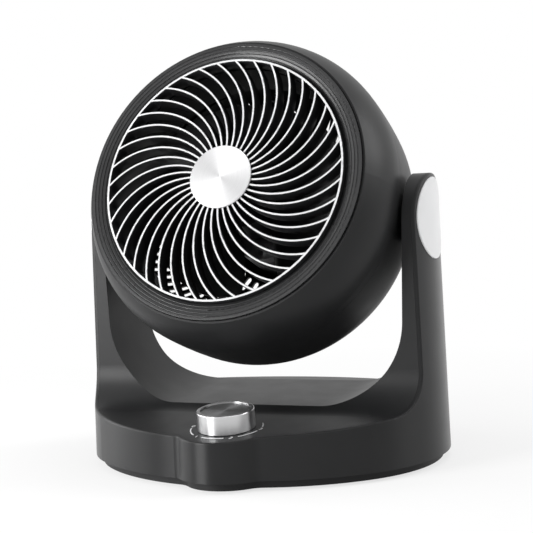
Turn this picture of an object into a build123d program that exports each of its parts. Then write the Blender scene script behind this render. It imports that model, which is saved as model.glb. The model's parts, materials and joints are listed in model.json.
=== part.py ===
"""Table-top air circulator: a tilting barrel head between the arms of a yoke on an oval base.

Millimetres and degrees, +Z up, the outlet looking towards -Y. Everything is drawn with the tilt
pivot above x = 0, y = 0 and the head in its tilted rest pose. Saving a piece moves it along Y so
that the origin ends up on the floor under the middle of the whole object.
"""

from build123d import *
from math import asin, atan2, cos, degrees, radians, sin, tan
import os

os.makedirs("parts", exist_ok=True)

# ---------------------------------------------------------------- driving dimensions
# clearances
seam_gap = 0.1
running_clearance = 0.05
moving_gap = 0.4
head_side_gap = 1.8
screw_end_gap = 1.0
wall = 2.4
edge_break = 0.3

# base and yoke
pivot_height = 167.5
base_half_width = 130
base_half_depth = 111
base_flank_radius = 98
skirt_bottom = 6.5
skirt_draft = 1.0
skirt_edge_radius = 1.2
yoke_top_margin = 12
boss_radius = 34
boss_blend_radius = 9
deck_slope = 6
deck_front_height = 33
rear_deck_front_height = 45.3
arm_half_depth = 30.5
arm_flare_radius = 28
trough_floor_height = 46.1
trough_slope = 2.5
trough_draft = 1.9
trough_corner_radius = 57

# pan, feet and ballast
pan_inset = 5.4
pan_ground_gap = 1.0
pan_plate = 2.5
pan_rim = 9
pan_lip_height = 4.5
pan_lip_wall = 1.8
foot_radius = 9
foot_height = 3.0
foot_chamfer = 0.5
foot_positions = ((-82, -48), (82, -48), (-82, 52), (82, 52))
post_positions = ((-60, -66), (60, -66), (-60, 70), (60, 70))
post_radius = 4.5
ballast_thickness = 4
ballast_inset = 26

# terminal block and cord inlet
terminal_length = 34
terminal_width = 16
terminal_height = 13
terminal_ways = 3
terminal_place = (-30, 20)
terminal_well_radius = 2.2
terminal_chamfer = 1.1
inlet_height = 20
inlet_radius = 6
inlet_bore_radius = 3.5
inlet_flange = 2.0

# knob and switch
knob_x = 6
knob_y = -88
knob_radius = 19.2
knob_height = 12.5
knob_edge_radius = 0.8
knob_wall = 1.6
insert_radius = 16.6
insert_recess = 0.7
insert_thickness = 1.0
dial_radius = 24.4
dial_width = 0.8
dial_thickness = 0.3
dial_positions = 4
dial_span = 180
dial_gap_angle = 22
spindle_radius = 3.0
switch_size = 26
switch_depth = 16
switch_neck_radius = 4.5
switch_nut_flats = 12
switch_nut_height = 2.0

# tilt pivot
fan_axis_rise = 8.5
arm_top_cap_radius = 27.8
cap_proud = 0.8
cap_edge_radius = 0.6
trunnion_radius = 8
pivot_bush_wall = 1.5
pivot_boss_radius = 14
pivot_boss_length = 6
pivot_boss_rise = 0.6
pivot_pad_radius = 17
friction_washer_thickness = 1.0
pivot_plate_radius = 12.5
pivot_plate_thickness = 1.0

# head
rest_tilt = 21
bezel_radius = 100
front_station = 67
crown_radius = 111.5
crown_station = 32
shoulder_radius = 109.5
shoulder_station = -12
back_station = -52.8
seam_station = 25
rear_grille_station = -18
shell_lip_length = 4
shell_lip_wall = 1.5
grille_lip_length = 6
duct_radius = 84
duct_rear_station = 24
duct_wall = 2.0
grille_lug_rear = -8
grille_post_radius = 6
lug_thickness = 5
flange_station = 55
flange_thickness = 2.2

# bezel and outlet grille
outlet_radius = 86.3
outlet_station = 70
bezel_inner_station = 65.8
bezel_outer_station = 68.8
bezel_bulge = 0.9
bezel_groove_count = 4
bezel_groove_radius = 0.5
bezel_skirt_width = 2.0
bezel_inner_wall = 1.0
bezel_gap = 0.4
mouth_edge = 1.4
fin_count = 39
fin_width = 1.7
fin_depth = 11
fin_first_angle = 5.0
fin_root_angle = -2.6
fin_middle_radius = 56
fin_middle_angle = 11
fin_tip_angle = 29.2
outlet_ring_width = 1.9
hub_radius = 22.2
hub_station = 70.5
hub_disc_thickness = 1.2
hub_disc_overhang = 0.6
lug_count = 4
lug_width = 12
lug_reach = 7

# rear grille
# rows of radial slots: inner radius, outer radius, width, count
slot_rows = ((78, 104, 3.3, 96), (58, 73, 3.4, 66), (43, 54, 4.0, 40))

# screws
screw_radius = 1.6
screw_head_radius = 3.2
screw_head_height = 2.0
screw_head_round = 0.8
head_screw_count = 4
head_screw_circle = 91.6
head_post_radius = 4.5
shell_screw_angle = 45
grille_screw_angle = 0
screw_pilot_depth = 14
shell_screw_length = 14
grille_screw_length = 10
outlet_screw_length = 9
mount_screw_length = 7
pivot_screw_length = 12

# motor and propeller
motor_radius = 33
motor_front_station = -9
stator_front_station = -18
stator_rear_station = -38
motor_cover_wall = 2.0
motor_bolt_circle = 28.6
motor_boss_radius = 3.2
winding_inner_radius = 17
winding_outer_radius = 24.5
winding_length = 6
winding_round = 1.8
rotor_radius = 15
air_gap = 0.4
shaft_radius = 4
bearing_radius = 9
bearing_length = 6
propeller_radius = 74
propeller_hub_radius = 23
propeller_hub_rear_station = 6
propeller_hub_front_station = 34
blade_count = 3
blade_first_angle = 106
# blade sections from root to tip: radius, chord, angle to the plane of rotation
blade_sections = ((18, 50, -45), (43, 118, -20), (76, 124, -15))
blade_camber = 4.0
blade_thickness = 2.2
blade_edge_thickness = 1.1
propeller_wall = 2.4
propeller_boss_radius = 7
propeller_nut_radius = 8
propeller_nut_height = 5

# ---------------------------------------------------------------- shared places
pivot = Vector(0, 0, pivot_height)
tilt = radians(rest_tilt)
fan_direction = Vector(0, -cos(tilt), sin(tilt))
fan_centre = pivot + Vector(0, 0, fan_axis_rise)
fan_axis = Axis(fan_centre, fan_direction)
# across the fan axis: x to the viewer's right, y up the head, z out of the outlet
fan_plane = Plane(origin=fan_centre, x_dir=(1, 0, 0), z_dir=fan_direction)
# section through the fan axis: x is the radius and y the station along the axis
fan_section = Plane(origin=fan_centre, x_dir=(1, 0, 0), z_dir=(0, -sin(tilt), -cos(tilt)))

boss_front = knob_y - boss_radius
middle_depth = (boss_front + base_half_depth + inlet_flange) / 2
slope = radians(deck_slope)
pan_top = skirt_bottom
trough_half_gap = crown_radius + head_side_gap
motor_rear_station = back_station + wall + 2 * seam_gap


def deck_height(y):
    """Height of the sloping front deck at depth y."""
    return deck_front_height + tan(slope) * (y - boss_front)


knob_base = Vector(knob_x, knob_y, deck_height(knob_y))
knob_plane = Plane(origin=knob_base, x_dir=(1, 0, 0), z_dir=(0, -sin(slope), cos(slope)))
knob_axis = Axis(knob_base, knob_plane.z_dir)


def save(piece, name):
    """Move one finished piece into the shared frame, label it and write it to its own file."""
    placed = piece.part.moved(Location((0, -middle_depth, 0)))
    placed.label = name
    export_step(placed, f"parts/{name}.step")


# ---------------------------------------------------------------- base and yoke forms
def base_outline(inset):
    """Oval of four tangent arcs with the round control boss blended in at the front."""
    flank_centre = base_half_width - base_flank_radius
    rise = base_half_depth - base_flank_radius
    long_centre = (flank_centre**2 - rise**2) / (2 * rise)
    long_radius = long_centre + base_half_depth - inset
    flank_radius = base_flank_radius - inset
    joint_angle = degrees(atan2(long_centre, flank_centre))
    long_sweep = 180 - 2 * joint_angle
    with BuildSketch() as outline:
        with BuildLine():
            CenterArc((flank_centre, 0), flank_radius, -joint_angle, 2 * joint_angle)
            CenterArc((0, -long_centre), long_radius, joint_angle, long_sweep)
            CenterArc((-flank_centre, 0), flank_radius, 180 - joint_angle, 2 * joint_angle)
            CenterArc((0, long_centre), long_radius, 180 + joint_angle, long_sweep)
        make_face()
        with Locations((knob_x, knob_y)):
            Circle(boss_radius - inset)
        fillet(outline.vertices().sort_by(Axis.Y)[:2], boss_blend_radius + inset)
    return outline.sketch


def skirt_prism(inset):
    """The outline drawn up with its draft, past the top of the arms."""
    with BuildPart() as prism:
        with BuildSketch(Plane.XY.offset(skirt_bottom)):
            add(base_outline(inset))
        extrude(amount=pivot_height + arm_half_depth + yoke_top_margin, taper=skirt_draft)
    return prism.part


def yoke_side_view(inset):
    """Side view: round-topped arm that flares into the sloping decks, as a bar across the base."""
    arm = arm_half_depth - inset
    reach = base_half_depth + boss_radius
    drop = inset / cos(slope)
    rear_rise = tan(slope) * (base_half_depth - arm)
    front_corner = (-arm, deck_height(-arm) - drop)
    rear_corner = (arm, rear_deck_front_height - drop)
    front_end = (-reach, deck_height(-reach) - drop)
    rear_end = (reach, rear_corner[1] - rear_rise)
    flare = arm_flare_radius + inset
    with BuildPart() as bar:
        with BuildSketch(Plane.YZ):
            with BuildLine():
                Polyline(front_end, (-reach, 0), (reach, 0), rear_end)
                FilletPolyline(rear_end, rear_corner, (arm, pivot_height), radius=flare)
                ThreePointArc((arm, pivot_height), (0, pivot_height + arm), (-arm, pivot_height))
                FilletPolyline((-arm, pivot_height), front_corner, front_end, radius=flare)
            make_face()
        extrude(amount=base_half_width + pan_inset, both=True)
    return bar.part


def trough(inset):
    """The U-shaped space between the arms, grown by inset, running down towards the front."""
    fall = radians(trough_slope)
    trough_plane = Plane(
        origin=(0, 0, trough_floor_height), x_dir=(1, 0, 0), z_dir=(0, -cos(fall), -sin(fall))
    )
    rise = pivot_height - trough_floor_height
    narrowing = tan(radians(trough_draft))
    top = rise + 2 * arm_half_depth
    half_gap = trough_half_gap + inset
    top_half = half_gap + narrowing * (top - rise)
    floor_half = half_gap - narrowing * (rise + inset)
    with BuildPart() as space:
        with BuildSketch(trough_plane) as profile:
            with BuildLine():
                Polyline(
                    (-top_half, top),
                    (-floor_half, -inset),
                    (floor_half, -inset),
                    (top_half, top),
                    close=True,
                )
            make_face()
            fillet(profile.vertices().group_by(Axis.Y)[0], trough_corner_radius + inset)
        extrude(amount=2 * base_half_depth, both=True)
    return space.part


def rim_edges(form):
    """Edges of the form where decks and arms meet the drafted outer wall."""
    walls = skirt_prism(0).faces().filter_by(Axis.Z, reverse=True)
    curved = form.edges().filter_by(GeomType.LINE, reverse=True)
    above = curved.filter_by(lambda edge: (edge @ 0.5).Z > skirt_bottom + skirt_edge_radius)
    return above.filter_by(lambda edge: min(w.distance_to(edge @ 0.5) for w in walls) < seam_gap / 10)


# the whole yoke and base as one form, before it is parted into skirt and frame
with BuildPart() as yoke_form:
    add(skirt_prism(0))
    add(yoke_side_view(0), mode=Mode.INTERSECT)
    add(trough(0), mode=Mode.SUBTRACT)
    fillet(rim_edges(yoke_form.part), skirt_edge_radius)

# room inside the frame: the form drawn in by the wall, less the screw posts
with BuildPart() as yoke_cavity:
    add(skirt_prism(0))
    add(yoke_side_view(wall), mode=Mode.INTERSECT)
    add(trough(wall), mode=Mode.SUBTRACT)
    with BuildSketch(Plane.XY.offset(skirt_bottom)):
        with Locations(*post_positions):
            Circle(post_radius)
    extrude(amount=pivot_height, mode=Mode.SUBTRACT)
    # bosses round the pivots, inside each arm
    for side in (-1, 1):
        with BuildSketch(Plane.YZ.offset(side * trough_half_gap)):
            with Locations((0, pivot_height)):
                Circle(pivot_boss_radius)
        extrude(amount=side * pivot_boss_length, mode=Mode.SUBTRACT)

# ---------------------------------------------------------------- base pieces

with BuildPart() as base_skirt:
    add(yoke_form.part)
    add(skirt_prism(wall), mode=Mode.SUBTRACT)
    # round openings for the two arm caps
    with BuildSketch(Plane.YZ):
        with Locations((0, pivot_height)):
            Circle(arm_top_cap_radius + seam_gap)
    extrude(amount=base_half_width, both=True, mode=Mode.SUBTRACT)
    # hole for the cord inlet at the back
    with BuildSketch(Plane.XZ):
        with Locations((0, inlet_height)):
            Circle(inlet_radius + seam_gap)
    extrude(amount=-2 * base_half_depth, mode=Mode.SUBTRACT)
save(base_skirt, "base_skirt")

bush_bore_radius = trunnion_radius + pivot_bush_wall
boss_face = trough_half_gap - pivot_boss_rise
boss_end = trough_half_gap + pivot_boss_length


def pivot_disc(side, start, length, outer, inner=0):
    """Ring or disc on the tilt pivot, from the start station outward along X on one side."""
    with BuildPart() as disc:
        with BuildSketch(Plane.YZ.offset(side * start)):
            with Locations((0, pivot_height)):
                Circle(outer)
                if inner:
                    Circle(inner, mode=Mode.SUBTRACT)
        extrude(amount=side * length)
    return disc.part


with BuildPart() as base_frame:
    add(yoke_form.part)
    add(skirt_prism(wall + seam_gap), mode=Mode.INTERSECT)
    add(yoke_cavity.part, mode=Mode.SUBTRACT)
    # flat face round each pivot, proud of the sloping side of the arm
    for side in (-1, 1):
        add(pivot_disc(side, boss_face, boss_end - boss_face, pivot_boss_radius))
    # pilot holes in the posts
    with BuildSketch(Plane.XY.offset(skirt_bottom)):
        with Locations(*post_positions):
            Circle(screw_radius + seam_gap / 2)
    extrude(amount=screw_pilot_depth, mode=Mode.SUBTRACT)
    # seats for the pivot bushes
    with BuildSketch(Plane.YZ):
        with Locations((0, pivot_height)):
            Circle(bush_bore_radius)
    extrude(amount=base_half_width, both=True, mode=Mode.SUBTRACT)
    # hole for the neck of the switch
    with BuildSketch(knob_plane):
        Circle(switch_neck_radius + seam_gap)
    extrude(amount=2 * wall, both=True, mode=Mode.SUBTRACT)
save(base_frame, "base_frame")

pan_lip_inset = wall + seam_gap
pan_lip_inner_inset = pan_inset + pan_lip_wall
pan_floor = pan_top - pan_plate

with BuildPart() as base_pan:
    with BuildSketch(Plane.XY.offset(pan_ground_gap)):
        add(base_outline(pan_inset))
    extrude(amount=pan_top - pan_ground_gap)
    # hollow underside inside the rim, with round pads left for the feet and the screws
    with BuildSketch(Plane.XY.offset(pan_ground_gap)):
        add(base_outline(pan_inset + pan_rim))
        with Locations(*foot_positions):
            Circle(foot_radius + wall, mode=Mode.SUBTRACT)
        with Locations(*post_positions):
            Circle(post_radius + wall, mode=Mode.SUBTRACT)
    extrude(amount=pan_floor - pan_ground_gap, mode=Mode.SUBTRACT)
    # upstanding lip that centres the skirt
    with BuildSketch(Plane.XY.offset(pan_top)):
        add(base_outline(pan_lip_inset))
        add(base_outline(pan_lip_inner_inset), mode=Mode.SUBTRACT)
    extrude(amount=pan_lip_height)
    # pockets for the feet
    with BuildSketch(Plane.XY.offset(pan_ground_gap)):
        with Locations(*foot_positions):
            Circle(foot_radius + seam_gap)
    extrude(amount=foot_height - pan_ground_gap, mode=Mode.SUBTRACT)
    # screws come up from below, their heads sunk in the pads
    with Locations(*[(x, y, pan_ground_gap) for x, y in post_positions]):
        with Locations(Rotation(180, 0, 0)):
            CounterBoreHole(
                screw_radius + seam_gap, screw_head_radius + seam_gap, screw_head_height, 2 * pan_top
            )
save(base_pan, "base_pan")

with BuildPart() as rubber_feet:
    with BuildSketch(Plane.XY):
        with Locations(*foot_positions):
            Circle(foot_radius)
    extrude(amount=foot_height)
    chamfer(rubber_feet.faces().group_by(Axis.Z)[0].edges(), foot_chamfer)
save(rubber_feet, "rubber_feet")


def screw_solid(head_plane, length):
    """Pan-head screw: head above the plane, shank below it."""
    with BuildPart() as screw:
        with BuildSketch(head_plane):
            Circle(screw_head_radius)
        extrude(amount=screw_head_height)
        fillet(screw.faces().sort_by(Axis(head_plane.origin, head_plane.z_dir))[-1].edges(), screw_head_round)
        with BuildSketch(head_plane):
            Circle(screw_radius)
        extrude(amount=-length)
    return screw.part


pan_screw_length = pan_top - pan_ground_gap - screw_head_height + screw_pilot_depth - screw_end_gap

with BuildPart() as pan_screws:
    for x, y in post_positions:
        seat = Plane(origin=(x, y, pan_ground_gap + screw_head_height), z_dir=(0, 0, -1))
        add(screw_solid(seat, pan_screw_length))
save(pan_screws, "pan_screws")

with BuildPart() as ballast_plate:
    with BuildSketch(Plane.XY.offset(pan_top)):
        add(base_outline(ballast_inset))
        with Locations(*post_positions):
            Circle(post_radius + 2 * wall, mode=Mode.SUBTRACT)
    extrude(amount=ballast_thickness)
save(ballast_plate, "ballast_plate")

ballast_top = pan_top + ballast_thickness

with BuildPart() as terminal_block:
    with BuildSketch(Plane.XY.offset(ballast_top)):
        with Locations(terminal_place):
            Rectangle(terminal_length, terminal_width)
    extrude(amount=terminal_height)
    chamfer(terminal_block.faces().sort_by(Axis.Z)[-1].edges(), terminal_chamfer)
    # wells of the clamp screws
    with BuildSketch(Plane.XY.offset(ballast_top + terminal_height)):
        with Locations(terminal_place):
            with GridLocations(terminal_length / terminal_ways, terminal_width / 2, terminal_ways, 2):
                Circle(terminal_well_radius)
    extrude(amount=-terminal_height / 2, mode=Mode.SUBTRACT)
save(terminal_block, "terminal_block")

inlet_outer_y = base_half_depth
with BuildPart() as cord_inlet:
    with BuildSketch(Plane.XZ.offset(-inlet_outer_y - inlet_flange)):
        with Locations((0, inlet_height)):
            Circle(inlet_radius + inlet_flange)
    extrude(amount=inlet_flange)
    fillet(cord_inlet.faces().sort_by(Axis.Y)[-1].edges(), inlet_flange / 2)
    with BuildSketch(Plane.XZ.offset(-inlet_outer_y)):
        with Locations((0, inlet_height)):
            Circle(inlet_radius)
    extrude(amount=2 * wall)
    with BuildSketch(Plane.XZ.offset(-inlet_outer_y - inlet_flange)):
        with Locations((0, inlet_height)):
            Circle(inlet_bore_radius)
    extrude(amount=inlet_flange + 2 * wall, mode=Mode.SUBTRACT)
save(cord_inlet, "cord_inlet")

# ---------------------------------------------------------------- knob and switch
with BuildPart() as speed_switch:
    with BuildSketch(knob_plane.offset(-wall - seam_gap)):
        RectangleRounded(switch_size, switch_size, wall)
    extrude(amount=-switch_depth)
    with BuildSketch(knob_plane.offset(-wall - seam_gap)):
        Circle(switch_neck_radius)
    extrude(amount=wall + switch_nut_height + seam_gap)
    with BuildSketch(knob_plane.offset(switch_nut_height)):
        Circle(spindle_radius + running_clearance)
    extrude(amount=-switch_nut_height - switch_depth, mode=Mode.SUBTRACT)
save(speed_switch, "speed_switch")

with BuildPart() as switch_nut:
    with BuildSketch(knob_plane.offset(seam_gap)):
        RegularPolygon(switch_nut_flats / 2, 6, major_radius=False)
        Circle(switch_neck_radius + running_clearance, mode=Mode.SUBTRACT)
    extrude(amount=switch_nut_height - 2 * seam_gap)
save(switch_nut, "switch_nut")

knob_top = moving_gap + knob_height
knob_web = insert_recess + insert_thickness + knob_wall
spindle_top = knob_top - knob_web + seam_gap

with BuildPart() as switch_spindle:
    with BuildSketch(knob_plane.offset(spindle_top)):
        Circle(spindle_radius)
    extrude(amount=-spindle_top - switch_depth / 2)
    # flat that drives the knob
    with BuildSketch(knob_plane.offset(switch_nut_height + moving_gap)):
        with Locations((0, spindle_radius)):
            Rectangle(2 * spindle_radius, spindle_radius)
    extrude(amount=spindle_top, mode=Mode.SUBTRACT)
save(switch_spindle, "switch_spindle")

with BuildPart() as speed_knob:
    with BuildSketch(knob_plane.offset(moving_gap)):
        Circle(knob_radius)
    extrude(amount=knob_height)
    fillet(speed_knob.edges().sort_by(knob_axis)[-1], knob_edge_radius)
    # recess for the insert
    with BuildSketch(knob_plane.offset(knob_top)):
        Circle(insert_radius + seam_gap)
    extrude(amount=-insert_recess - insert_thickness, mode=Mode.SUBTRACT)
    # hollow underside
    with BuildSketch(knob_plane.offset(moving_gap)):
        Circle(knob_radius - knob_wall)
    extrude(amount=knob_top - knob_web - moving_gap, mode=Mode.SUBTRACT)
    # hub on the spindle
    with BuildSketch(knob_plane.offset(switch_nut_height + moving_gap)):
        Circle(spindle_radius + knob_wall)
    extrude(amount=knob_top - knob_web - switch_nut_height - moving_gap)
    with BuildSketch(knob_plane.offset(switch_nut_height)):
        Circle(spindle_radius + running_clearance)
        with Locations((0, spindle_radius + running_clearance)):
            Rectangle(3 * spindle_radius, spindle_radius, mode=Mode.SUBTRACT)
    extrude(amount=spindle_top + seam_gap - switch_nut_height, mode=Mode.SUBTRACT)
save(speed_knob, "speed_knob")

with BuildPart() as knob_insert:
    with BuildSketch(knob_plane.offset(knob_top - insert_recess - insert_thickness)):
        Circle(insert_radius)
    extrude(amount=insert_thickness)
    chamfer(knob_insert.edges().sort_by(knob_axis)[-1], edge_break)
save(knob_insert, "knob_insert")

# silver ring on the deck, broken by a gap for each number
dial_step = dial_span / (dial_positions - 1)
with BuildPart() as dial_ring:
    with BuildSketch(knob_plane):
        Circle(dial_radius)
        Circle(dial_radius - dial_width, mode=Mode.SUBTRACT)
        for position in range(dial_positions):
            with Locations(Rotation(0, 0, 180 + position * dial_step)):
                with Locations((dial_radius, 0)):
                    gap_width = 2 * dial_radius * sin(radians(dial_gap_angle / 2))
                    Rectangle(dial_radius / 2, gap_width, mode=Mode.SUBTRACT)
        # the ring stops behind the knob
        with Locations((0, dial_radius)):
            Rectangle(2 * dial_radius, dial_radius, mode=Mode.SUBTRACT)
    extrude(amount=dial_thickness)
save(dial_ring, "dial_ring")


# ---------------------------------------------------------------- tilt pivot pieces
pad_face = boss_face - friction_washer_thickness - 2 * seam_gap
trunnion_end = boss_end + seam_gap
plate_seat = trunnion_end + seam_gap

for side, name in ((-1, "left"), (1, "right")):
    with BuildPart() as arm_cap:
        add(pivot_disc(side, 0, base_half_width + cap_proud, arm_top_cap_radius))
        add(skirt_prism(-cap_proud), mode=Mode.INTERSECT)
        add(skirt_prism(wall), mode=Mode.SUBTRACT)
        outer_face = arm_cap.faces().sort_by(Axis((0, 0, 0), (side, 0, 0)))[-1]
        fillet(outer_face.edges(), cap_edge_radius)
    save(arm_cap, f"{name}_arm_cap")

    with BuildPart() as pivot_bush:
        bush_radius = bush_bore_radius - running_clearance
        bush_bore = trunnion_radius + running_clearance
        add(pivot_disc(side, boss_face, boss_end - boss_face, bush_radius, bush_bore))
    save(pivot_bush, f"{name}_pivot_bush")

with BuildPart() as friction_washers:
    for side in (-1, 1):
        bore = trunnion_radius + running_clearance
        washer_start = pad_face + seam_gap
        add(pivot_disc(side, washer_start, friction_washer_thickness, pivot_boss_radius, bore))
save(friction_washers, "friction_washers")

with BuildPart() as pivot_plates:
    for side in (-1, 1):
        bore = screw_radius + running_clearance
        add(pivot_disc(side, plate_seat, pivot_plate_thickness, pivot_plate_radius, bore))
save(pivot_plates, "pivot_plates")

with BuildPart() as pivot_screws:
    for side in (-1, 1):
        head_x = side * (plate_seat + pivot_plate_thickness)
        seat = Plane(origin=(head_x, 0, pivot_height), z_dir=(side, 0, 0))
        add(screw_solid(seat, pivot_screw_length))
save(pivot_screws, "pivot_screws")


# ---------------------------------------------------------------- head: shared forms
def arc_radius(radius, station):
    """Radius of the arc that leaves the crown square to the axis and passes the given point."""
    drop = crown_radius - radius
    run = station - crown_station
    return (drop**2 + run**2) / (2 * drop)


front_arc = arc_radius(bezel_radius, front_station)
rear_arc = arc_radius(shoulder_radius, shoulder_station)
shoulder_angle = asin((crown_station - shoulder_station) / rear_arc)
back_arc = (shoulder_station - back_station) / (1 - sin(shoulder_angle))
back_centre_radius = shoulder_radius - back_arc * cos(shoulder_angle)


def barrel(inset, rear, front):
    """Solid of the barrel drawn in by inset, cut off square at a rear and a front station."""
    front_angle = 2 * degrees(asin((front_station - crown_station) / front_arc))
    rear_angle = degrees(shoulder_angle)
    with BuildPart() as form:
        with BuildSketch(fan_section):
            with BuildLine():
                nose = CenterArc((crown_radius - front_arc, crown_station), front_arc - inset, 0, front_angle)
                CenterArc((crown_radius - rear_arc, crown_station), rear_arc - inset, -rear_angle, rear_angle)
                tail = CenterArc(
                    (back_centre_radius, back_station + back_arc), back_arc - inset, -90, 90 - rear_angle
                )
                Polyline(nose @ 1, (0, (nose @ 1).Y), (0, back_station + inset), tail @ 0)
            make_face()
        revolve(axis=fan_axis)
        with BuildSketch(fan_plane.offset(rear)):
            Circle(2 * crown_radius)
        extrude(amount=front - rear, mode=Mode.INTERSECT)
    return form.part


def ring(rear, front, outer, inner=0):
    """Ring or disc round the fan axis between two stations."""
    with BuildPart() as turned:
        with BuildSketch(fan_plane.offset(rear)):
            Circle(outer)
            if inner:
                Circle(inner, mode=Mode.SUBTRACT)
        extrude(amount=front - rear)
    return turned.part


def posts(rear, front, radius, circle, first_angle, count=head_screw_count):
    """Round posts or holes parallel to the fan axis, evenly spaced on a circle."""
    with BuildPart() as pattern:
        with BuildSketch(fan_plane.offset(rear)):
            with PolarLocations(circle, count, start_angle=first_angle):
                Circle(radius)
        extrude(amount=front - rear)
    return pattern.part


def head_screws(seat_station, facing, length, circle, first_angle, count=head_screw_count):
    """Screws parallel to the fan axis, heads facing forward (1) or backward (-1)."""
    with BuildPart() as screws:
        for index in range(count):
            angle = radians(first_angle + index * 360 / count)
            place = fan_plane.offset(seat_station).from_local_coords(
                Vector(circle * cos(angle), circle * sin(angle), 0)
            )
            add(screw_solid(Plane(origin=place, z_dir=facing * fan_direction), length))
    return screws.part


# ---------------------------------------------------------------- head: shells
pilot_radius = screw_radius + seam_gap / 2
hole_radius = screw_radius + seam_gap
shell_lug_rear = seam_station - wall - lug_thickness
shell_lug_front = shell_lug_rear + lug_thickness
flange_front = flange_station + flange_thickness
lap_inset = wall + seam_gap
lug_run = crown_radius - head_screw_circle


def screw_lugs(rear, first_angle):
    """Lugs on the inside of the barrel, each with a hole for one screw."""
    with BuildPart() as lugs:
        with BuildSketch(fan_plane.offset(rear)):
            with PolarLocations(head_screw_circle, head_screw_count, start_angle=first_angle):
                Circle(head_post_radius)
                with Locations((lug_run / 2, 0)):
                    Rectangle(lug_run, 2 * head_post_radius)
        extrude(amount=lug_thickness)
        add(barrel(wall / 2, rear - wall, front_station), mode=Mode.INTERSECT)
        add(
            posts(rear, rear + lug_thickness, hole_radius, head_screw_circle, first_angle),
            mode=Mode.SUBTRACT,
        )
    return lugs.part


with BuildPart() as front_shell:
    add(barrel(0, seam_station + seam_gap, front_station))
    add(barrel(wall, seam_station, front_station), mode=Mode.SUBTRACT)
    # flange that carries the outlet grille and the bezel
    add(barrel(wall / 2, flange_station, flange_front))
    add(ring(duct_rear_station, flange_front, duct_radius + duct_wall))
    add(posts(shell_lug_front + seam_gap, flange_front, head_post_radius, head_screw_circle, shell_screw_angle))
    # duct for the propeller
    add(ring(duct_rear_station, flange_front, duct_radius), mode=Mode.SUBTRACT)
    add(
        posts(shell_lug_front, flange_front, pilot_radius, head_screw_circle, shell_screw_angle),
        mode=Mode.SUBTRACT,
    )
    # mouth for the bezel
    add(ring(flange_front, front_station, bezel_radius - mouth_edge), mode=Mode.SUBTRACT)
save(front_shell, "front_shell")

with BuildPart() as rear_shell:
    add(barrel(0, rear_grille_station, seam_station))
    # flat pads and trunnions at the pivot
    for side in (-1, 1):
        add(pivot_disc(side, 0, pad_face, pivot_pad_radius))
        add(pivot_disc(side, 0, trunnion_end, trunnion_radius))
    add(ring(rear_grille_station, seam_station, 2 * crown_radius), mode=Mode.INTERSECT)
    add(barrel(wall, rear_grille_station, seam_station), mode=Mode.SUBTRACT)
    # lip that locates the front shell
    add(barrel(wall / 2, seam_station - shell_lip_length, seam_station))
    add(barrel(lap_inset, seam_station - shell_lip_length, seam_station + shell_lip_length))
    add(
        barrel(lap_inset + shell_lip_wall, rear_grille_station, seam_station + shell_lip_length),
        mode=Mode.SUBTRACT,
    )
    add(screw_lugs(shell_lug_rear, shell_screw_angle))
    add(screw_lugs(grille_lug_rear, grille_screw_angle))
    for side in (-1, 1):
        add(
            pivot_disc(side, trunnion_end - pivot_screw_length, pivot_screw_length, pilot_radius),
            mode=Mode.SUBTRACT,
        )
save(rear_shell, "rear_shell")

# ---------------------------------------------------------------- head: rear grille
grille_post_front = grille_lug_rear - seam_gap
grille_seat = grille_post_front - lug_thickness

with BuildPart() as rear_grille:
    add(barrel(0, back_station, rear_grille_station - seam_gap))
    add(barrel(wall, back_station, rear_grille_station), mode=Mode.SUBTRACT)
    for inner, outer, width, count in slot_rows:
        with BuildSketch(fan_plane.offset(rear_grille_station - wall)):
            with PolarLocations((inner + outer) / 2, count):
                SlotOverall(outer - inner, width)
        extrude(amount=back_station, mode=Mode.SUBTRACT)
    # ring that laps inside the rear shell
    with BuildPart(mode=Mode.PRIVATE) as lap:
        add(barrel(lap_inset, rear_grille_station - wall, rear_grille_station + grille_lip_length))
        add(barrel(wall / 2, rear_grille_station - wall, rear_grille_station - seam_gap))
        add(barrel(lap_inset + shell_lip_wall, back_station, front_station), mode=Mode.SUBTRACT)
    add(lap.part)
    # posts from the dome to the lugs of the rear shell
    with BuildPart(mode=Mode.PRIVATE) as pillars:
        add(posts(back_station, grille_post_front, grille_post_radius, head_screw_circle, grille_screw_angle))
        add(barrel(wall / 2, back_station, 0), mode=Mode.INTERSECT)
    add(pillars.part)
    head_room = screw_head_radius + seam_gap
    for radius, station in ((hole_radius, grille_post_front), (head_room, grille_seat)):
        add(
            posts(back_station, station, radius, head_screw_circle, grille_screw_angle),
            mode=Mode.SUBTRACT,
        )
    # holes for the screws that hold the motor
    add(
        posts(back_station, motor_rear_station, hole_radius, motor_bolt_circle, shell_screw_angle),
        mode=Mode.SUBTRACT,
    )
save(rear_grille, "rear_grille")

# ---------------------------------------------------------------- head: outlet
lug_rear = flange_front + seam_gap
lug_front = lug_rear + flange_thickness
fin_rear = outlet_station - fin_depth
hub_boss_radius = hub_radius - hub_disc_overhang
bezel_inner = outlet_radius + bezel_gap
bezel_outer = bezel_radius - mouth_edge - bezel_gap
bezel_floor = lug_front + screw_head_height + bezel_gap


def polar(radius, angle):
    """Point in the outlet's plane at a radius and an angle in degrees."""
    return (radius * cos(radians(angle)), radius * sin(radians(angle)))


with BuildSketch() as fin:
    with BuildLine():
        ThreePointArc(
            polar(hub_boss_radius - fin_width, fin_root_angle),
            polar(fin_middle_radius, fin_middle_angle),
            polar(outlet_radius - outlet_ring_width / 2, fin_tip_angle),
        )
    trace(line_width=fin_width)

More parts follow.
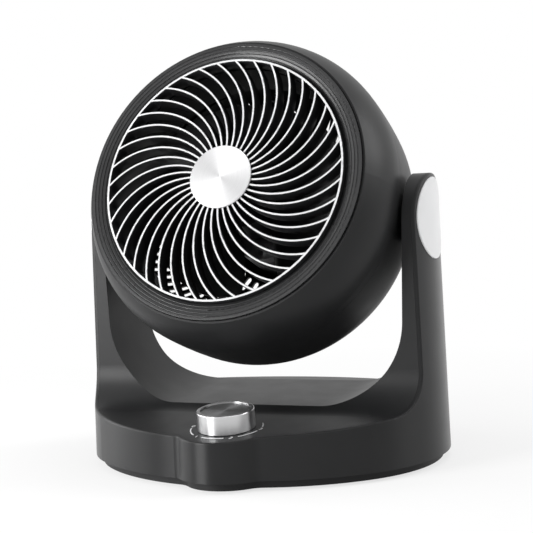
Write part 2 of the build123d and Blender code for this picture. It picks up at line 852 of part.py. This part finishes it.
with BuildPart() as outlet_grille:
    with BuildSketch(fan_plane.offset(fin_rear)):
        Circle(hub_boss_radius)
        with PolarLocations(0, fin_count, start_angle=fin_first_angle):
            add(fin.sketch)
    extrude(amount=hub_station - fin_rear)
    add(ring(lug_rear, hub_station, outlet_radius, outlet_radius - outlet_ring_width))
    # the front of hub, fins and ring lies on one shallow cone
    with BuildSketch(fan_section):
        with BuildLine():
            Polyline(
                (0, lug_rear),
                (outlet_radius, lug_rear),
                (outlet_radius, outlet_station),
                (hub_boss_radius, hub_station),
                (0, hub_station),
                close=True,
            )
        make_face()
    revolve(axis=fan_axis, mode=Mode.INTERSECT)
    # lugs that sit on the flange
    with BuildSketch(fan_plane.offset(lug_rear)):
        lug_middle = outlet_radius - outlet_ring_width / 2 + lug_reach / 2
        with PolarLocations(lug_middle, lug_count, start_angle=shell_screw_angle):
            Rectangle(lug_reach, lug_width)
        with PolarLocations(head_screw_circle, lug_count, start_angle=shell_screw_angle):
            Circle(screw_head_radius)
            Circle(hole_radius, mode=Mode.SUBTRACT)
        Circle(outlet_radius - outlet_ring_width, mode=Mode.SUBTRACT)
    extrude(amount=lug_front - lug_rear)
save(outlet_grille, "outlet_grille")

with BuildPart() as front_bezel:
    with BuildSketch(fan_section):
        with BuildLine():
            middle_radius = (bezel_inner + bezel_outer) / 2
            middle_station = (bezel_inner_station + bezel_outer_station) / 2
            funnel = ThreePointArc(
                (bezel_inner, bezel_inner_station),
                (middle_radius, middle_station + bezel_bulge),
                (bezel_outer, bezel_outer_station),
            )
            Polyline(
                funnel @ 1,
                (bezel_outer, flange_front + seam_gap),
                (bezel_outer - bezel_skirt_width, flange_front + seam_gap),
                (bezel_outer - bezel_skirt_width, bezel_floor),
                (bezel_inner + bezel_inner_wall, bezel_floor),
                (bezel_inner + bezel_inner_wall, lug_front + bezel_gap),
                (bezel_inner, lug_front + bezel_gap),
                funnel @ 0,
            )
        make_face()
        # round grooves in the front
        for index in range(bezel_groove_count):
            with Locations(funnel @ ((index + 1) / (bezel_groove_count + 1))):
                Circle(bezel_groove_radius, mode=Mode.SUBTRACT)
    revolve(axis=fan_axis)
save(front_bezel, "front_bezel")

with BuildPart() as hub_disc:
    add(ring(hub_station + seam_gap, hub_station + seam_gap + hub_disc_thickness, hub_radius))
    chamfer(hub_disc.edges().sort_by(fan_axis)[-1], edge_break)
save(hub_disc, "hub_disc")

# ---------------------------------------------------------------- head: screws
with BuildPart() as shell_screws:
    add(head_screws(shell_lug_rear, -1, shell_screw_length, head_screw_circle, shell_screw_angle))
save(shell_screws, "shell_screws")

with BuildPart() as rear_grille_screws:
    add(head_screws(grille_seat, -1, grille_screw_length, head_screw_circle, grille_screw_angle))
save(rear_grille_screws, "rear_grille_screws")

with BuildPart() as outlet_screws:
    add(head_screws(lug_front, 1, outlet_screw_length, head_screw_circle, shell_screw_angle))
save(outlet_screws, "outlet_screws")

with BuildPart() as motor_screws:
    add(head_screws(back_station, -1, mount_screw_length, motor_bolt_circle, shell_screw_angle))
save(motor_screws, "motor_screws")

# ---------------------------------------------------------------- head: motor
bearing_seat = bearing_radius + running_clearance
bearing_boss = bearing_radius + motor_cover_wall
rear_cover_floor = motor_rear_station + motor_cover_wall
front_cover_floor = motor_front_station - motor_cover_wall
rotor_bore = rotor_radius + air_gap


def motor_cover(floor_face, floor_inside, open_face):
    """Cup over one end of the motor with a bearing seat and bosses for the bolts."""
    inward = 1 if open_face > floor_face else -1
    bearing_end = floor_inside + inward * bearing_length
    with BuildPart() as cover:
        add(ring(floor_face, open_face, motor_radius))
        add(ring(floor_inside, open_face, motor_radius - motor_cover_wall), mode=Mode.SUBTRACT)
        with BuildPart(mode=Mode.PRIVATE) as bosses:
            for first_angle in (0, shell_screw_angle):
                add(posts(floor_face, open_face, motor_boss_radius, motor_bolt_circle, first_angle))
            add(ring(floor_face, open_face, motor_radius), mode=Mode.INTERSECT)
        add(bosses.part)
        add(ring(floor_face, bearing_end, bearing_boss))
        add(ring(floor_inside, bearing_end, bearing_seat), mode=Mode.SUBTRACT)
    return cover.part


with BuildPart() as motor_rear_cover:
    add(motor_cover(motor_rear_station, rear_cover_floor, stator_rear_station - seam_gap))
    add(
        posts(rear_cover_floor, stator_rear_station, pilot_radius, motor_bolt_circle, 0),
        mode=Mode.SUBTRACT,
    )
    add(
        posts(motor_rear_station, stator_rear_station, pilot_radius, motor_bolt_circle, shell_screw_angle),
        mode=Mode.SUBTRACT,
    )
save(motor_rear_cover, "motor_rear_cover")

with BuildPart() as motor_front_cover:
    add(motor_cover(motor_front_station, front_cover_floor, stator_front_station + seam_gap))
    add(
        posts(stator_front_station, motor_front_station, hole_radius, motor_bolt_circle, 0),
        mode=Mode.SUBTRACT,
    )
    # hole for the shaft
    add(ring(front_cover_floor, motor_front_station, shaft_radius + moving_gap), mode=Mode.SUBTRACT)
save(motor_front_cover, "motor_front_cover")

with BuildPart() as stator_core:
    add(ring(stator_rear_station, stator_front_station, motor_radius, rotor_bore))
    add(
        posts(stator_rear_station, stator_front_station, hole_radius, motor_bolt_circle, 0),
        mode=Mode.SUBTRACT,
    )
save(stator_core, "stator_core")

with BuildPart() as stator_windings:
    for start, end in (
        (stator_rear_station - winding_length, stator_rear_station - seam_gap),
        (stator_front_station + seam_gap, stator_front_station + winding_length),
    ):
        add(ring(start, end, winding_outer_radius, winding_inner_radius))
        for face_station in (start, end):
            rims = stator_windings.edges().filter_by(
                lambda edge: abs(fan_plane.to_local_coords(edge.center()).Z - face_station) < seam_gap / 2
            )
            fillet(rims, winding_round)
save(stator_windings, "stator_windings")

motor_bolt_length = motor_front_station - rear_cover_floor - screw_end_gap
with BuildPart() as motor_bolts:
    add(head_screws(motor_front_station, 1, motor_bolt_length, motor_bolt_circle, 0))
save(motor_bolts, "motor_bolts")

for name, start in (
    ("rear_bearing", rear_cover_floor + seam_gap),
    ("front_bearing", front_cover_floor - bearing_length + seam_gap),
):
    with BuildPart() as bearing:
        bearing_end = start + bearing_length - 2 * seam_gap
        add(ring(start, bearing_end, bearing_radius, shaft_radius + running_clearance))
    save(bearing, name)

# ---------------------------------------------------------------- rotor and propeller
shaft_rear = rear_cover_floor + moving_gap
shaft_front = propeller_hub_front_station + propeller_nut_height

with BuildPart() as motor_shaft:
    add(ring(shaft_rear, shaft_front, shaft_radius))
    chamfer(motor_shaft.edges().group_by(fan_axis)[-1], moving_gap)
save(motor_shaft, "motor_shaft")

with BuildPart() as rotor_core:
    add(ring(stator_rear_station, stator_front_station, rotor_radius, shaft_radius + running_clearance))
save(rotor_core, "rotor_core")


def blade():
    """One twisted, cambered blade along +X of the fan plane, cut to the hub and the tip."""
    middle = (propeller_hub_rear_station + propeller_hub_front_station) / 2
    with BuildPart() as form:
        for radius, chord, angle in blade_sections:
            turn = radians(angle)
            across = (0, cos(turn), -sin(turn))
            with BuildSketch(Plane(origin=(radius, 0, middle), x_dir=across, z_dir=(1, 0, 0))):
                with BuildLine():
                    half = chord / 2
                    edge = blade_edge_thickness / 2
                    ThreePointArc((-half, edge), (0, blade_camber + blade_thickness / 2), (half, edge))
                    Line((half, edge), (half, -edge))
                    ThreePointArc((half, -edge), (0, blade_camber - blade_thickness / 2), (-half, -edge))
                    Line((-half, -edge), (-half, edge))
                make_face()
        loft()
        with BuildSketch(Plane.XY):
            Circle(propeller_radius)
            Circle(propeller_hub_radius - propeller_wall / 2, mode=Mode.SUBTRACT)
        extrude(amount=outlet_station, both=True, mode=Mode.INTERSECT)
    return form.part


one_blade = blade()
with BuildPart() as propeller:
    with Locations(fan_plane):
        with PolarLocations(0, blade_count, start_angle=blade_first_angle):
            add(one_blade)
    add(
        ring(
            propeller_hub_rear_station,
            propeller_hub_front_station,
            propeller_hub_radius,
            propeller_hub_radius - propeller_wall,
        )
    )
    add(
        ring(
            propeller_hub_front_station - propeller_wall,
            propeller_hub_front_station,
            propeller_hub_radius,
        )
    )
    add(ring(propeller_hub_rear_station, propeller_hub_front_station, propeller_boss_radius))
    add(
        ring(
            propeller_hub_rear_station,
            propeller_hub_front_station,
            shaft_radius + running_clearance,
        ),
        mode=Mode.SUBTRACT,
    )
save(propeller, "propeller")

with BuildPart() as propeller_nut:
    nut_rear = propeller_hub_front_station + seam_gap
    with BuildSketch(fan_plane.offset(nut_rear)):
        RegularPolygon(propeller_nut_radius, 6)
        Circle(shaft_radius + running_clearance, mode=Mode.SUBTRACT)
    extrude(amount=propeller_nut_height)
save(propeller_nut, "propeller_nut")
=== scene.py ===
"""Looks of the table-top air circulator: materials, printed numbers, studio and camera.

Lengths are in metres, angles in degrees and colours linear. The solids come from the frame and
keep their shape and place. They get materials here, and the outlet grille a small bevel.
"""

import json
import math

import bmesh
import bpy
from mathutils import Matrix, Vector


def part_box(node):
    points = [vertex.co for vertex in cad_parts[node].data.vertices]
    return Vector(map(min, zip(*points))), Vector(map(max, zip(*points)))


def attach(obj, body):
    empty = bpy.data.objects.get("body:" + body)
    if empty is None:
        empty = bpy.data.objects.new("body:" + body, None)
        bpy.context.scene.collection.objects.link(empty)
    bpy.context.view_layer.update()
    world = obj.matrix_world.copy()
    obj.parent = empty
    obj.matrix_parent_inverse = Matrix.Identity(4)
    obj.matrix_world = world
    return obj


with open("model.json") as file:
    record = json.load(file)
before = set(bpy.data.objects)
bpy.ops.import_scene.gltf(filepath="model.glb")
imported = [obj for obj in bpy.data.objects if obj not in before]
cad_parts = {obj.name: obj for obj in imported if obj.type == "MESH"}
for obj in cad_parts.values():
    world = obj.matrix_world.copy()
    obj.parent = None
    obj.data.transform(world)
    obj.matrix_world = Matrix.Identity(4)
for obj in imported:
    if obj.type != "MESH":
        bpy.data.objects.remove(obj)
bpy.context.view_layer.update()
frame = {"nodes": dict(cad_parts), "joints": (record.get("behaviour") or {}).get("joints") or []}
nodes = frame["nodes"]

# ---------------------------------------------------------------- sizes and levels
# grille faces this far forward along the fan axis, and turned to it by at least this cosine, are silver
silver_station = 0.0665
silver_facing = 0.7
# faces of the front shell this near to the fan axis are the dark inside of the duct
duct_reach = 0.0872

# broken edges of the grille
weld_distance = 0.000002
fin_edge_width = 0.00028
fin_edge_angle = 60

# plain numbers in the gaps of the dial ring
number_count = 4
number_height = 0.0052
number_thickness = 0.00008
number_lift = 0.0001
number_circle = 0.0244
first_number_angle = 180
number_step_angle = 60

# white floor and world: the shadow shows near the object, and far out all is white
floor_half_width = 6.0
floor_glow_near = 0.7
floor_near_radius = 0.2
floor_far_radius = 0.6
world_light_strength = 0.25
world_seen_strength = 1.0
lamp_target = (0, 0, 0.14)

# camera: direction, distance and framing fitted to the photograph
camera_azimuth = 22.77
camera_elevation = 3.68
camera_roll = -2.59
camera_distance = 0.9166
camera_aim = (0.0044, 0, 0.1366)
focal_pixels = 1284.7
picture_width = 533
sensor_width = 36

# ---------------------------------------------------------------- places taken from the frame
spin_joint = next(j for j in frame["joints"] if j["name"] == "fan_spin")
knob_joint = next(j for j in frame["joints"] if j["name"] == "speed_turn")
fan_centre = Vector(spin_joint["pos_m"])
fan_axis = Vector(spin_joint["axis"]).normalized()
knob_centre = Vector(knob_joint["pos_m"])
knob_axis = Vector(knob_joint["axis"]).normalized()
hub_low, hub_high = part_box("hub_disc")
hub_centre = (hub_low + hub_high) / 2


def axis_frame(axis):
    """Rotation whose Z is the axis and whose X is level across the object."""
    across = Vector((1, 0, 0))
    return Matrix((across, axis.cross(across), axis)).transposed()


# ---------------------------------------------------------------- helpers for node materials


def new_material(name):
    """New node material, with its node tree and its Principled shader."""
    material = bpy.data.materials.new(name)
    material.use_nodes = True
    shader = material.node_tree.nodes["Principled BSDF"]
    return material, material.node_tree, shader


def add_node(tree, kind, **settings):
    """New node; a setting names an input socket or a node property."""
    node = tree.nodes.new(kind)
    for key, value in settings.items():
        if key in node.inputs:
            node.inputs[key].default_value = value
        else:
            setattr(node, key, value)
    return node


def object_noise(tree, scale, detail, stretch=(1, 1, 1)):
    """Noise in object space, at a scale in cycles per metre."""
    coordinates = add_node(tree, "ShaderNodeTexCoord")
    mapping = add_node(tree, "ShaderNodeMapping", Scale=stretch)
    noise = add_node(tree, "ShaderNodeTexNoise", Scale=scale, Detail=detail)
    tree.links.new(coordinates.outputs["Object"], mapping.inputs["Vector"])
    tree.links.new(mapping.outputs["Vector"], noise.inputs["Vector"])
    return noise.outputs["Fac"]


def vary_colour(tree, shader, source, tones):
    """Base colour between a dark and a light tone, after a value socket."""
    node = add_node(tree, "ShaderNodeValToRGB")
    positions = (0.3, 0.7)
    for element, position, tone in zip(node.color_ramp.elements, positions, tones):
        element.position = position
        element.color = (*tone, 1)
    tree.links.new(source, node.inputs["Fac"])
    tree.links.new(node.outputs["Color"], shader.inputs["Base Color"])


def vary_roughness(tree, shader, source, roughness, spread):
    """Roughness within a spread either way, after a value socket."""
    node = add_node(tree, "ShaderNodeMapRange")
    node.inputs["To Min"].default_value = roughness - spread
    node.inputs["To Max"].default_value = roughness + spread
    tree.links.new(source, node.inputs["Value"])
    tree.links.new(node.outputs["Result"], shader.inputs["Roughness"])


def add_bump(tree, shader, height, strength, distance):
    """Bump after a height socket."""
    node = add_node(tree, "ShaderNodeBump", Strength=strength, Distance=distance)
    tree.links.new(height, node.inputs["Height"])
    tree.links.new(node.outputs["Normal"], shader.inputs["Normal"])


# ---------------------------------------------------------------- kinds of material


def moulded_plastic(name, tones, roughness, grain=0.25, specular=0.22):
    """Moulded plastic with slight mottling of tone and a fine spark-eroded grain."""
    material, tree, shader = new_material(name)
    mottling = object_noise(tree, scale=22, detail=2)
    vary_colour(tree, shader, mottling, tones)
    smear = object_noise(tree, scale=60, detail=4)
    vary_roughness(tree, shader, smear, roughness, spread=0.05)
    fine_grain = object_noise(tree, scale=1600, detail=2)
    add_bump(tree, shader, fine_grain, strength=grain, distance=0.00008)
    shader.inputs["Specular IOR Level"].default_value = specular
    return material


def draw_out_upright(material, anisotropy):
    """Draw the reflections of an upright wall out into tall bands."""
    tree = material.node_tree
    shader = tree.nodes["Principled BSDF"]
    upright = add_node(tree, "ShaderNodeCombineXYZ", Z=1.0)
    tree.links.new(upright.outputs["Vector"], shader.inputs["Tangent"])
    shader.inputs["Anisotropic"].default_value = anisotropy


def plain_metal(name, tones, roughness, stretch=(1, 1, 1), scale=500):
    """Plain metal with fine tool marks drawn out along one direction."""
    material, tree, shader = new_material(name)
    marks = object_noise(tree, scale, detail=3, stretch=stretch)
    vary_colour(tree, shader, marks, tones)
    vary_roughness(tree, shader, marks, roughness, spread=0.06)
    add_bump(tree, shader, marks, strength=0.2, distance=0.00005)
    shader.inputs["Metallic"].default_value = 1.0
    return material


def turning_marks(tree, coordinates, centre, axis, scale):
    """Rings round an axis: one-dimensional noise over the distance from it."""
    mapping = add_node(tree, "ShaderNodeMapping", vector_type="TEXTURE", Location=centre)
    mapping.inputs["Rotation"].default_value = axis_frame(axis).to_euler()
    split = add_node(tree, "ShaderNodeSeparateXYZ")
    distance = add_node(tree, "ShaderNodeVectorMath", operation="LENGTH")
    flat = add_node(tree, "ShaderNodeCombineXYZ")
    tree.links.new(coordinates.outputs["Object"], mapping.inputs["Vector"])
    tree.links.new(mapping.outputs["Vector"], split.inputs["Vector"])
    tree.links.new(split.outputs["X"], flat.inputs["X"])
    tree.links.new(split.outputs["Y"], flat.inputs["Y"])
    tree.links.new(flat.outputs["Vector"], distance.inputs[0])
    marks = add_node(tree, "ShaderNodeTexNoise", noise_dimensions="1D", Scale=scale, Detail=3)
    tree.links.new(distance.outputs["Value"], marks.inputs["W"])
    return marks.outputs["Fac"]


def draw_out_across_turning(tree, shader, coordinates, centre, axis, anisotropy):
    """Draw the highlight out across the turning marks, which run round the axis."""
    radial = add_node(tree, "ShaderNodeVectorMath", operation="SUBTRACT")
    radial.inputs[1].default_value = centre
    around = add_node(tree, "ShaderNodeVectorMath", operation="CROSS_PRODUCT")
    around.inputs[0].default_value = axis
    across = add_node(tree, "ShaderNodeVectorMath", operation="CROSS_PRODUCT")
    tree.links.new(coordinates.outputs["Object"], radial.inputs[0])
    tree.links.new(radial.outputs["Vector"], around.inputs[1])
    tree.links.new(around.outputs["Vector"], across.inputs[0])
    tree.links.new(coordinates.outputs["Normal"], across.inputs[1])
    tree.links.new(across.outputs["Vector"], shader.inputs["Tangent"])
    shader.inputs["Anisotropic"].default_value = anisotropy


def turned_metal(name, centre, axis, tones, roughness, anisotropy, marks_scale):
    """Metal turned about an axis: fine rings and a stretched, bow-tie highlight."""
    material, tree, shader = new_material(name)
    coordinates = add_node(tree, "ShaderNodeTexCoord")
    marks = turning_marks(tree, coordinates, centre, axis, marks_scale)
    vary_colour(tree, shader, marks, tones)
    vary_roughness(tree, shader, marks, roughness, spread=0.04)
    add_bump(tree, shader, marks, strength=0.15, distance=0.00004)
    draw_out_across_turning(tree, shader, coordinates, centre, axis, anisotropy)
    shader.inputs["Metallic"].default_value = 1.0
    return material


# ---------------------------------------------------------------- tones, each dark and light
near_black = ((0.011, 0.0112, 0.0117), (0.014, 0.0142, 0.0147))
pan_black = ((0.008, 0.008, 0.0085), (0.011, 0.011, 0.0115))
inner_black = ((0.012, 0.012, 0.013), (0.016, 0.016, 0.017))
rubber_black = ((0.012, 0.012, 0.012), (0.018, 0.018, 0.018))
bezel_black = ((0.02, 0.0202, 0.0208), (0.025, 0.0252, 0.0258))
propeller_black = ((0.02, 0.02, 0.021), (0.026, 0.026, 0.027))
switch_grey = ((0.03, 0.03, 0.03), (0.04, 0.04, 0.04))
acetal_white = ((0.5, 0.49, 0.45), (0.56, 0.55, 0.51))
terminal_beige = ((0.45, 0.43, 0.37), (0.5, 0.48, 0.42))
bright_silver = ((0.8, 0.803, 0.81), (0.86, 0.863, 0.87))
painted_silver = ((0.62, 0.623, 0.63), (0.7, 0.703, 0.71))
steel_grey = ((0.45, 0.45, 0.46), (0.6, 0.6, 0.61))
mill_grey = ((0.2, 0.2, 0.21), (0.32, 0.32, 0.33))
aluminium_grey = ((0.42, 0.42, 0.43), (0.5, 0.5, 0.51))
lamination_grey = ((0.16, 0.16, 0.17), (0.26, 0.26, 0.27))
copper_red = ((0.45, 0.18, 0.08), (0.7, 0.32, 0.16))
hub_grey = ((0.5, 0.5, 0.505), (0.6, 0.6, 0.605))
knob_face_grey = ((0.28, 0.28, 0.285), (0.38, 0.38, 0.385))
knob_grey = ((0.5, 0.5, 0.505), (0.66, 0.66, 0.665))

# ---------------------------------------------------------------- materials
housing = moulded_plastic("housing_plastic", near_black, roughness=0.42)
skirt_plastic = moulded_plastic("skirt_plastic", near_black, roughness=0.38)
draw_out_upright(skirt_plastic, anisotropy=0.9)
deck_plastic = moulded_plastic("deck_plastic", near_black, roughness=0.44)
bezel_plastic = moulded_plastic("bezel_plastic", bezel_black, roughness=0.28, grain=0.08, specular=0.36)
inner_plastic = moulded_plastic("inner_plastic", inner_black, roughness=0.5)
grille_plastic = moulded_plastic("grille_plastic", inner_black, roughness=0.4)
propeller_plastic = moulded_plastic("propeller_plastic", propeller_black, roughness=0.35)
pan_plastic = moulded_plastic("pan_plastic", pan_black, roughness=0.5)
rubber = moulded_plastic("foot_rubber", rubber_black, roughness=0.8, grain=0.6)
switch_plastic = moulded_plastic("switch_plastic", switch_grey, roughness=0.5)
acetal = moulded_plastic("natural_acetal", acetal_white, roughness=0.4)
terminal_plastic = moulded_plastic("terminal_plastic", terminal_beige, roughness=0.5)
silver_trim = moulded_plastic("silver_trim", bright_silver, roughness=0.33)
silver_print = moulded_plastic("silver_print", painted_silver, roughness=0.4)
fin_silver = moulded_plastic("fin_silver", painted_silver, roughness=0.35)
steel = plain_metal("bright_steel", steel_grey, roughness=0.32)
ballast = plain_metal("mill_steel", mill_grey, roughness=0.5, stretch=(1, 8, 1), scale=120)
cast_aluminium = plain_metal("cast_aluminium", aluminium_grey, roughness=0.5)
laminations = plain_metal(
    "laminations", lamination_grey, roughness=0.45, stretch=(0.1, 0.1, 6), scale=900
)
copper = plain_metal("winding_copper", copper_red, roughness=0.35, stretch=(1, 6, 6), scale=400)
hub_metal = turned_metal(
    "hub_metal", hub_centre, fan_axis, hub_grey, roughness=0.48, anisotropy=0.6, marks_scale=2600
)
knob_face_metal = turned_metal(
    "knob_face_metal",
    knob_centre,
    knob_axis,
    knob_face_grey,
    roughness=0.38,
    anisotropy=0.8,
    marks_scale=1500,
)
knob_metal = turned_metal(
    "knob_metal", knob_centre, knob_axis, knob_grey, roughness=0.3, anisotropy=0.8, marks_scale=900
)

looks = {
    housing: ("front_shell", "rear_shell", "rear_grille"),
    skirt_plastic: ("base_skirt",),
    deck_plastic: ("base_frame",),
    pan_plastic: ("base_pan",),
    bezel_plastic: ("front_bezel",),
    grille_plastic: ("outlet_grille",),
    propeller_plastic: ("propeller",),
    rubber: ("rubber_feet", "cord_inlet"),
    switch_plastic: ("speed_switch", "switch_spindle"),
    acetal: ("left_pivot_bush", "right_pivot_bush", "friction_washers"),
    terminal_plastic: ("terminal_block",),
    silver_trim: ("left_arm_cap", "right_arm_cap"),
    silver_print: ("dial_ring",),
    hub_metal: ("hub_disc",),
    knob_face_metal: ("knob_insert",),
    knob_metal: ("speed_knob",),
    steel: (
        "pan_screws",
        "switch_nut",
        "shell_screws",
        "rear_grille_screws",
        "outlet_screws",
        "motor_screws",
        "motor_bolts",
        "pivot_plates",
        "pivot_screws",
        "motor_shaft",
        "propeller_nut",
        "front_bearing",
        "rear_bearing",
    ),
    ballast: ("ballast_plate",),
    cast_aluminium: ("motor_rear_cover", "motor_front_cover"),
    laminations: ("stator_core", "rotor_core"),
    copper: ("stator_windings",),
}
for material, names in looks.items():
    for name in names:
        nodes[name].data.materials.clear()
        nodes[name].data.materials.append(material)

# ---------------------------------------------------------------- faces with a second material


def station(point):
    """Distance forward of the fan's centre along its axis."""
    return (point - fan_centre).dot(fan_axis)


def distance_from_axis(point):
    """Distance from the fan axis."""
    offset = point - fan_centre
    return (offset - fan_axis * offset.dot(fan_axis)).length


def is_silver(face):
    """A face at the front of the fins or of their ring that looks forward."""
    return face.normal.dot(fan_axis) > silver_facing and station(face.center) > silver_station


def is_inside_duct(face):
    """A face of the front shell's inner duct."""
    return distance_from_axis(face.center) < duct_reach


def paint_faces(node, material, chosen):
    """Give the faces of a node that pass the test a second material."""
    mesh = nodes[node].data
    mesh.materials.append(material)
    slot_index = len(mesh.materials) - 1
    for face in mesh.polygons:
        if chosen(face):
            face.material_index = slot_index


def break_grille_edges(grille):
    """Small bevel in the dark plastic; the weld joins the solid's faces, so that it takes hold."""
    weld = grille.modifiers.new("joined", "WELD")
    weld.merge_threshold = weld_distance
    bevel = grille.modifiers.new("fin_edge", "BEVEL")
    bevel.width = fin_edge_width
    bevel.segments = 1
    bevel.limit_method = "ANGLE"
    bevel.angle_limit = math.radians(fin_edge_angle)
    bevel.use_clamp_overlap = False
    bevel.material = 0


paint_faces("outlet_grille", fin_silver, is_silver)
break_grille_edges(nodes["outlet_grille"])
paint_faces("front_shell", inner_plastic, is_inside_duct)

# ---------------------------------------------------------------- numbers round the knob


def printed_number(number):
    """Plain number that lies on the deck in its gap of the dial ring."""
    font = bpy.data.curves.new(f"dial_number_{number}", "FONT")
    font.body = str(number)
    font.size = number_height
    font.align_x = "CENTER"
    font.align_y = "CENTER"
    font.extrude = number_thickness
    font.materials.append(silver_print)
    text = bpy.data.objects.new(f"dial_number_{number}", font)
    bpy.context.scene.collection.objects.link(text)
    angle = math.radians(first_number_angle + number_step_angle * number)
    on_dial = Vector((math.cos(angle), math.sin(angle), 0)) * number_circle
    turn = axis_frame(knob_axis)
    place = knob_centre + turn @ on_dial + knob_axis * number_lift
    text.matrix_world = Matrix.Translation(place) @ turn.to_4x4()
    return text


for number in range(number_count):
    text = printed_number(number)
    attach(text, "base")

# ---------------------------------------------------------------- floor and world


def seen_directly(tree):
    """Socket that is 1 for camera, glossy and transmission rays."""
    path = add_node(tree, "ShaderNodeLightPath")
    total = path.outputs["Is Camera Ray"]
    for ray in ("Is Glossy Ray", "Is Transmission Ray"):
        either = add_node(tree, "ShaderNodeMath", operation="MAXIMUM")
        tree.links.new(total, either.inputs[0])
        tree.links.new(path.outputs[ray], either.inputs[1])
        total = either.outputs["Value"]
    return total


def white_when_seen(tree, shader):
    """White glow mixed over the shaded floor: partly near the object, fully far out."""
    coordinates = add_node(tree, "ShaderNodeTexCoord")
    distance = add_node(tree, "ShaderNodeVectorMath", operation="LENGTH")
    share = add_node(tree, "ShaderNodeMapRange")
    share.inputs["From Min"].default_value = floor_near_radius
    share.inputs["From Max"].default_value = floor_far_radius
    share.inputs["To Min"].default_value = floor_glow_near
    amount = add_node(tree, "ShaderNodeMath", operation="MULTIPLY")
    glow = add_node(tree, "ShaderNodeEmission", Color=(1, 1, 1, 1), Strength=1.0)
    mix = add_node(tree, "ShaderNodeMixShader")
    tree.links.new(coordinates.outputs["Object"], distance.inputs[0])
    tree.links.new(distance.outputs["Value"], share.inputs["Value"])
    tree.links.new(share.outputs["Result"], amount.inputs[0])
    tree.links.new(seen_directly(tree), amount.inputs[1])
    tree.links.new(amount.outputs["Value"], mix.inputs["Fac"])
    tree.links.new(shader.outputs["BSDF"], mix.inputs[1])
    tree.links.new(glow.outputs["Emission"], mix.inputs[2])
    tree.links.new(mix.outputs["Shader"], tree.nodes["Material Output"].inputs["Surface"])


def floor_paint():
    """Matt white that keeps the object's shadow."""
    material, tree, shader = new_material("studio_floor")
    shader.inputs["Base Color"].default_value = (1, 1, 1, 1)
    shader.inputs["Roughness"].default_value = 0.9
    shader.inputs["Specular IOR Level"].default_value = 0.0
    white_when_seen(tree, shader)
    return material


def studio_floor():
    """Flat square floor under the feet."""
    mesh = bpy.data.meshes.new("studio_floor")
    form = bmesh.new()
    corners = ((-1, -1), (1, -1), (1, 1), (-1, 1))
    form.faces.new([form.verts.new((x * floor_half_width, y * floor_half_width, 0)) for x, y in corners])
    form.to_mesh(mesh)
    form.free()
    mesh.materials.append(floor_paint())
    plane = bpy.data.objects.new("studio_floor", mesh)
    bpy.context.scene.collection.objects.link(plane)
    return plane


def studio_world():
    """World that is white where it is seen and lights the object more weakly."""
    world = bpy.data.worlds.new("studio")
    world.use_nodes = True
    tree = world.node_tree
    background = tree.nodes["Background"]
    background.inputs["Color"].default_value = (1, 1, 1, 1)
    level = add_node(tree, "ShaderNodeMapRange")
    level.inputs["To Min"].default_value = world_light_strength
    level.inputs["To Max"].default_value = world_seen_strength
    tree.links.new(seen_directly(tree), level.inputs["Value"])
    tree.links.new(level.outputs["Result"], background.inputs["Strength"])
    return world


floor = studio_floor()
bpy.context.scene.world = studio_world()

# ---------------------------------------------------------------- lamps


def area_lamp(name, place, size, power):
    """Soft rectangular lamp that looks at the object."""
    lamp = bpy.data.lights.new(name, "AREA")
    lamp.shape = "RECTANGLE"
    lamp.size, lamp.size_y = size
    lamp.energy = power
    holder = bpy.data.objects.new(name, lamp)
    holder.location = place
    holder.rotation_euler = (Vector(lamp_target) - Vector(place)).to_track_quat("-Z", "Y").to_euler()
    bpy.context.scene.collection.objects.link(holder)


area_lamp("key_left", place=(-1.3, -0.2, 0.5), size=(1.0, 1.0), power=11)
area_lamp("front_strip", place=(-0.8, -1.08, 0.35), size=(0.55, 0.7), power=19)
area_lamp("rim_right", place=(1.25, 0.5, 0.95), size=(0.7, 0.7), power=9)
area_lamp("top_soft", place=(0.3, 0.0, 1.5), size=(1.0, 1.0), power=6)

# ---------------------------------------------------------------- camera


def camera_turn():
    """Direction from the aim back to the camera, and the camera's rotation."""
    azimuth = math.radians(camera_azimuth)
    elevation = math.radians(camera_elevation)
    roll = math.radians(camera_roll)
    level_reach = math.cos(elevation)
    backward = Vector(
        (math.sin(azimuth) * level_reach, -math.cos(azimuth) * level_reach, math.sin(elevation))
    )
    level_right = Vector((math.cos(azimuth), math.sin(azimuth), 0))
    level_up = backward.cross(level_right)
    right = level_right * math.cos(roll) + level_up * math.sin(roll)
    up = level_up * math.cos(roll) - level_right * math.sin(roll)
    return backward, Matrix((right, up, backward)).transposed()


def photo_camera():
    """Camera at the photograph's viewing angle."""
    data = bpy.data.cameras.new("photo_camera")
    data.sensor_width = sensor_width
    data.lens = focal_pixels / picture_width * sensor_width
    camera = bpy.data.objects.new("photo_camera", data)
    backward, turn = camera_turn()
    place = Vector(camera_aim) + backward * camera_distance
    camera.matrix_world = Matrix.Translation(place) @ turn.to_4x4()
    bpy.context.scene.collection.objects.link(camera)
    return camera


bpy.context.scene.camera = photo_camera()
bpy.context.scene.view_settings.view_transform = "Standard"
